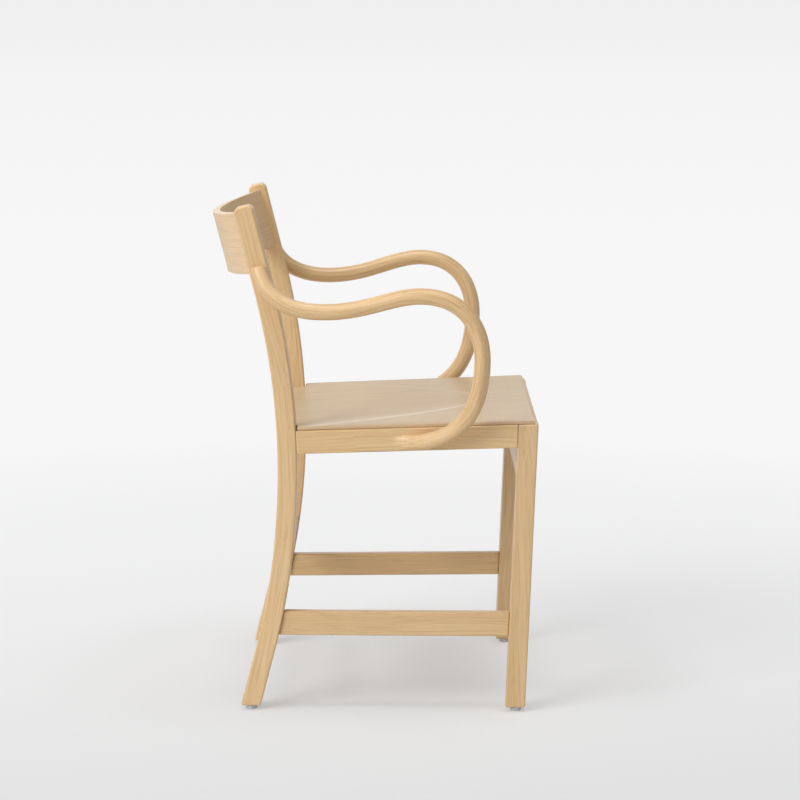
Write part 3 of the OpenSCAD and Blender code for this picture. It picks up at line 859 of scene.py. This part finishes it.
def apart(tree, vector):
    node = tree.nodes.new("ShaderNodeSeparateXYZ")
    tree.links.new(vector, node.inputs[0])
    return node.outputs


def attribute(tree, name):
    node = tree.nodes.new("ShaderNodeAttribute")
    node.attribute_name = name
    return node.outputs


def own_place(tree):
    return tree.nodes.new("ShaderNodeTexCoord").outputs["Object"]


def mix_shaders(tree, share, a, b):
    node = tree.nodes.new("ShaderNodeMixShader")
    for socket, value in zip(node.inputs, (share, a, b)):
        tree.links.new(value, socket)
    return node.outputs[0]


def new_material(name):
    material = bpy.data.materials.new(name)
    material.use_nodes = True
    return material, material.node_tree, material.node_tree.nodes["Principled BSDF"]


# Oak: rings, fibres, pores and slow changes of tone, all drawn along the fibres
def oak_figure():
    tree = bpy.data.node_groups.new("oak_figure", "ShaderNodeTree")
    for name, kind, value in (
            ("Fibres", "NodeSocketVector", (0, 0, 0)), ("Pale", "NodeSocketColor", (0.7, 0.5, 0.3, 1)),
            ("Warm", "NodeSocketColor", (0.6, 0.4, 0.2, 1)), ("Line", "NodeSocketColor", (0.4, 0.25, 0.12, 1)),
            ("Ring Gap", "NodeSocketFloat", 0.004), ("Ring Strength", "NodeSocketFloat", 0.3),
            ("Fibre Width", "NodeSocketFloat", 1.0),
            ("Fibre Strength", "NodeSocketFloat", 0.3), ("Pore Strength", "NodeSocketFloat", 0.3)):
        socket = tree.interface.new_socket(name=name, in_out="INPUT", socket_type=kind)
        socket.default_value = value
    for name, kind in (("Color", "NodeSocketColor"), ("Roughness", "NodeSocketFloat"),
                       ("Height", "NodeSocketFloat")):
        tree.interface.new_socket(name=name, in_out="OUTPUT", socket_type=kind)
    given = tree.nodes.new("NodeGroupInput").outputs
    out = tree.nodes.new("NodeGroupOutput").inputs

    # Noise with so many grains to the metre across the fibres and along them
    def streaks(vector, across, along, detail, rough=0.5):
        node = tree.nodes.new("ShaderNodeVectorMath")
        node.operation = "MULTIPLY"
        node.inputs[1].default_value = (across, across, along)
        tree.links.new(vector, node.inputs[0])
        return noise(tree, node.outputs[0], 1.0, detail, rough)

    def maths(operation, a, b=None):
        return calculate(tree, operation, a, b)

    fibres = given["Fibres"]
    # Slow wander of the whole figure
    wander = tree.nodes.new("ShaderNodeVectorMath")
    wander.operation = "MULTIPLY_ADD"
    wander.inputs[1].default_value = (0.030, 0.030, 0)
    tree.links.new(streaks(fibres, 9, 3.2, 2.0).outputs["Color"], wander.inputs[0])
    tree.links.new(fibres, wander.inputs[2])
    wandered = wander.outputs[0]
    # Growth rings about a pith that lies beside the piece and runs a little askew
    x, y, along = apart(tree, wandered)
    ring_x = maths("ADD", maths("ADD", x, maths("MULTIPLY", along, 0.035)), 0.045)
    ring_y = maths("ADD", y, 0.07)
    radius = maths("SQRT", maths("ADD", maths("MULTIPLY", ring_x, ring_x), maths("MULTIPLY", ring_y, ring_y)))
    ring = maths("FRACT", maths("DIVIDE", radius, given["Ring Gap"]))
    late = maths("MULTIPLY", spread(tree, ring, 0.25, 1.0), spread(tree, ring, 1.0, 0.93))
    early = spread(tree, ring, 0.30, 0.05)
    # Fine fibres, pores and broad bands of tone
    fine = streaks(wandered, 420, 6, 3.0, 0.7)
    tree.links.new(maths("DIVIDE", 1.0, given["Fibre Width"]), fine.inputs["Scale"])
    fine = fine.outputs["Fac"]
    finest = streaks(fibres, 1700, 40, 2.0, 0.6).outputs["Fac"]
    pore = streaks(fibres, 2300, 75, 1.0).outputs["Fac"]
    band = streaks(wandered, 46, 1.6, 3.0, 0.6).outputs["Fac"]
    dash = maths("MULTIPLY", spread(tree, pore, 0.60, 0.72), spread(tree, early, 0.0, 1.0, 0.35, 1.0))
    # Each layer: where it lies, how strong it is, and its colour
    color = blend(tree, spread(tree, band, 0.22, 0.78), given["Pale"], given["Warm"])
    for where, strength, layer in (
            (late, given["Ring Strength"], "Line"),
            (spread(tree, fine, 0.49, 0.64), given["Fibre Strength"], "Line"),
            (spread(tree, fine, 0.46, 0.28), maths("MULTIPLY", given["Fibre Strength"], 0.5), "Pale"),
            (dash, given["Pore Strength"], "Line")):
        color = blend(tree, maths("MULTIPLY", where, strength), color, given[layer])
    tree.links.new(color, out["Color"])
    rough = maths("ADD", spread(tree, finest, 0.3, 0.7, 0.34, 0.44), maths("MULTIPLY", dash, 0.2))
    tree.links.new(rough, out["Roughness"])
    height = maths("SUBTRACT", maths("MULTIPLY", fine, 0.5), maths("MULTIPLY", dash, 0.5))
    tree.links.new(maths("ADD", height, maths("MULTIPLY", finest, 0.25)), out["Height"])
    return tree


# Oak under a thin lacquer: the wood's three colours, how strong its rings and
# fibres are and how wide the fibres lie, and the lacquer's weight and roughness
def oak(name, figure, colours, rings=0.18, fibre=0.32, width=1.0, coat=0.5, gloss=0.28):
    material, tree, shader = new_material(name)
    wood = tree.nodes.new("ShaderNodeGroup")
    wood.node_tree = figure
    tree.links.new(attribute(tree, "grain")["Vector"], wood.inputs["Fibres"])
    for socket, value in zip(("Pale", "Warm", "Line"), colours):
        wood.inputs[socket].default_value = (*value, 1)
    for socket, value in (("Ring Gap", 0.0042), ("Ring Strength", rings), ("Fibre Strength", fibre),
                          ("Pore Strength", 0.35), ("Fibre Width", width)):
        wood.inputs[socket].default_value = value
    toned = tree.nodes.new("ShaderNodeVectorMath")
    toned.operation = "SCALE"
    tree.links.new(wood.outputs["Color"], toned.inputs[0])
    tree.links.new(attribute(tree, "tone")["Fac"], toned.inputs["Scale"])
    tree.links.new(toned.outputs[0], shader.inputs["Base Color"])
    tree.links.new(wood.outputs["Roughness"], shader.inputs["Roughness"])
    relief(tree, shader, wood.outputs["Height"], 0.25, 0.0004)
    shader.inputs["IOR"].default_value = 1.5
    shader.inputs["Specular IOR Level"].default_value = 0.2
    shader.inputs["Coat Weight"].default_value = coat
    shader.inputs["Coat Roughness"].default_value = gloss
    return material


# The seat's coat weight follows its attribute, and where that is high the colour is blended towards white as a
# painted highlight
def glossed_and_painted(material, thin, thick, white_paint):
    tree = material.node_tree
    shader = tree.nodes["Principled BSDF"]
    highlight_coat = attribute(tree, "highlight_coat")["Fac"]
    tree.links.new(spread(tree, highlight_coat, 0, 1, thin, thick), shader.inputs["Coat Weight"])
    bare = shader.inputs["Base Color"].links[0].from_socket
    # The crest's colour is blended towards white: a painted highlight
    painted_white_crest = blend(tree, spread(tree, highlight_coat, 0.5, 1, 0, white_paint), bare, (0.93, 0.90, 0.88, 1))
    tree.links.new(painted_white_crest, shader.inputs["Base Color"])
    return material


# Unlacquered oak for the dowels, turned so that its fibres run along them
def plain_oak(name, figure, colours, turned):
    material = oak(name, figure, colours, coat=0.0)
    tree = material.node_tree
    turn = tree.nodes.new("ShaderNodeMapping")
    turn.inputs["Rotation"].default_value = turned
    tree.links.new(own_place(tree), turn.inputs["Vector"])
    wood = next(node for node in tree.nodes if node.type == "GROUP")
    tree.links.new(turn.outputs["Vector"], wood.inputs["Fibres"])
    tree.links.new(wood.outputs["Color"], tree.nodes["Principled BSDF"].inputs["Base Color"])
    return material


def brushed_steel():
    material, tree, shader = new_material("brushed_steel")
    scratch = noise(tree, own_place(tree), 900).outputs["Fac"]
    tree.links.new(spread(tree, scratch, 0, 1, 0.22, 0.42), shader.inputs["Roughness"])
    tint = ramp(tree, scratch, (0.50, 0.51, 0.53), (0.66, 0.67, 0.69))
    tree.links.new(tint, shader.inputs["Base Color"])
    shader.inputs["Metallic"].default_value = 1
    return material


def glide_plastic():
    material, tree, shader = new_material("glide_plastic")
    scuff = noise(tree, own_place(tree), 420, 4).outputs["Fac"]
    tint = ramp(tree, scuff, (0.52, 0.53, 0.53), (0.68, 0.69, 0.69))
    tree.links.new(tint, shader.inputs["Base Color"])
    relief(tree, shader, scuff, 0.15, 0.0003)
    shader.inputs["Roughness"].default_value = 0.55
    return material


# Studio: pale floor, soft lamps, bright surround
def make_floor():
    bpy.ops.object.select_all(action="DESELECT")
    bpy.ops.mesh.primitive_plane_add(size=240, location=(60, 0, -0.0004))
    floor = settle(named("floor"))
    material, tree, shader = new_material("floor_paper")
    place = own_place(tree)
    # Depth runs from 0 in front of the chair to 1 at the horizon on both sides
    near, half_depth = 1.2, 3
    beyond = calculate(tree, "ABSOLUTE", calculate(tree, "ADD", apart(tree, place)[0], near))
    depth = calculate(tree, "DIVIDE", beyond, calculate(tree, "ADD", beyond, half_depth), True)
    # The paper's grey is painted light falloff: darker in front of the chair, lighter towards the horizon
    tone = tree.nodes.new("ShaderNodeValToRGB")
    stops = tone.color_ramp.elements
    for x, grey in ((-1.0, 0.75), (-0.62, 0.775), (-0.3, 0.807), (0.25, 0.863), (0.98, 0.913),
                    (2.6, 0.93), (5.6, 0.93), (20, 0.905), (71, 0.863)):
        stop = stops.new((x + near) / (x + near + half_depth))
        stop.color = (grey, grey, grey, 1)
    stops.remove(stops[0])
    stops.remove(stops[-1])
    tree.links.new(depth, tone.inputs["Fac"])
    paper = blend(tree, 1, tone.outputs["Color"], (0.960, 0.967, 0.976, 1), "MULTIPLY")
    tree.links.new(paper, shader.inputs["Base Color"])
    shader.inputs["Roughness"].default_value = 0.9
    shader.inputs["Specular IOR Level"].default_value = 0
    glow = tree.nodes.new("ShaderNodeEmission")
    tree.links.new(tone.outputs["Color"], glow.inputs["Color"])
    glow.inputs["Strength"].default_value = 1
    # Far from the chair the paper shows its painted grey to the eye as glow
    away = tree.nodes.new("ShaderNodeVectorMath")
    away.operation = "LENGTH"
    tree.links.new(place, away.inputs[0])
    near_glow = 0.42
    plain = spread(tree, away.outputs["Value"], 0.7, 2.2, near_glow, 1)
    seen = tree.nodes.new("ShaderNodeLightPath").outputs["Is Camera Ray"]
    surface = mix_shaders(tree, calculate(tree, "MULTIPLY", plain, seen), shader.outputs[0], glow.outputs[0])
    tree.links.new(surface, tree.nodes["Material Output"].inputs["Surface"])
    floor.data.materials.append(material)


# The room is even to the chair's wood, white to the eye, and darker in front of
# the chair to its lacquer
def make_surround(light, backdrop, lit_side, dark_side, far_side):
    world = bpy.data.worlds.new("studio")
    bpy.context.scene.world = world
    world.use_nodes = True
    tree = world.node_tree

    def sky(node, strength):
        node.inputs["Color"].default_value = (1, 1, 1, 1)
        feed(tree, node.inputs["Strength"], strength)
        return node.outputs[0]

    x, y, _ = apart(tree, tree.nodes.new("ShaderNodeTexCoord").outputs["Generated"])
    lit = spread(tree, y, -0.6, 0.5, dark_side, lit_side, "SMOOTHSTEP")
    far = spread(tree, x, 0.75, 1.0, 0, far_side, "SMOOTHSTEP")
    surface = sky(tree.nodes["Background"], light)
    ray = tree.nodes.new("ShaderNodeLightPath").outputs
    for kind, strength in (("Is Glossy Ray", calculate(tree, "ADD", lit, far)), ("Is Camera Ray", backdrop)):
        part = sky(tree.nodes.new("ShaderNodeBackground"), strength)
        surface = mix_shaders(tree, ray[kind], surface, part)
    tree.links.new(surface, tree.nodes["World Output"].inputs["Surface"])


def lamp(name, place, aim, size, power):
    bpy.ops.object.select_all(action="DESELECT")
    bpy.ops.object.light_add(type="AREA", location=place)
    light = bpy.context.object
    light.name = name
    light.rotation_euler = (Vector(aim) - Vector(place)).to_track_quat("-Z", "Y").to_euler()
    light.data.shape = "SQUARE"
    light.data.size = size
    light.data.energy = power


# Each oak in three colours: pale wood, warm wood and dark line
figure = oak_figure()
frame_oak = oak("frame_oak", figure, ((0.77, 0.545, 0.30), (0.66, 0.44, 0.22), (0.44, 0.26, 0.11)))
arm_oak = oak("arm_oak", figure, ((0.77, 0.545, 0.30), (0.68, 0.455, 0.23), (0.44, 0.26, 0.11)),
              fibre=0.55, width=1.25, gloss=0.36)
seat_oak = oak("seat_oak", figure, ((0.62, 0.465, 0.30), (0.55, 0.395, 0.235), (0.42, 0.28, 0.15)),
               rings=0.15, gloss=0.36)
glossed_and_painted(seat_oak, thin=0.06, thick=1.0, white_paint=0.25)
backrest_oak = oak("backrest_oak", figure, ((0.83, 0.60, 0.35), (0.73, 0.495, 0.265), (0.50, 0.32, 0.16)),
                   rings=0.2, width=1.6)
block_wood = oak("block_wood", figure, ((0.66, 0.50, 0.32), (0.58, 0.42, 0.25), (0.42, 0.28, 0.15)), coat=0.0)
dowel_wood = plain_oak("dowel_wood", figure, ((0.60, 0.42, 0.24), (0.52, 0.35, 0.19), (0.36, 0.22, 0.11)),
                       (0, math.pi / 2, 0))
steel, plastic = brushed_steel(), glide_plastic()

make_posts(frame_oak)
make_legs(frame_oak)
make_side_rails(frame_oak)
make_front_rail(frame_oak)
make_back_rail(frame_oak)
make_side_stretchers(frame_oak)
make_back_stretcher(frame_oak)
make_seat(seat_oak)
make_backrest(backrest_oak)
make_arms(arm_oak)
make_glides(plastic)
make_blocks(block_wood)
for name, finish in (
        ("glide_nails", steel), ("block_screws", steel), ("seat_screws", steel),
        ("side_rail_dowels", dowel_wood), ("front_rail_dowels", dowel_wood), ("back_rail_dowels", dowel_wood),
        ("stretcher_dowels", dowel_wood), ("arm_dowels", dowel_wood)):
    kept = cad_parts[name]
    kept.data.materials.clear()
    kept.data.materials.append(finish)

make_floor()
make_surround(light=0.38, backdrop=0.93, lit_side=0.90, dark_side=0.30, far_side=0.35)
lamp("overhead", place=(-0.5, -0.7, 6.4), aim=(0, -0.05, 0.4), size=2.4, power=132)
lamp("key", place=(-1.4, 2.9, 6.2), aim=(0, 0, 0.4), size=1.4, power=50)
lamp("side_softbox", place=(-5.4, 5.6, 4.2), aim=(0, 0, 0.4), size=4.2, power=385)
bpy.context.scene.view_settings.view_transform = "Standard"
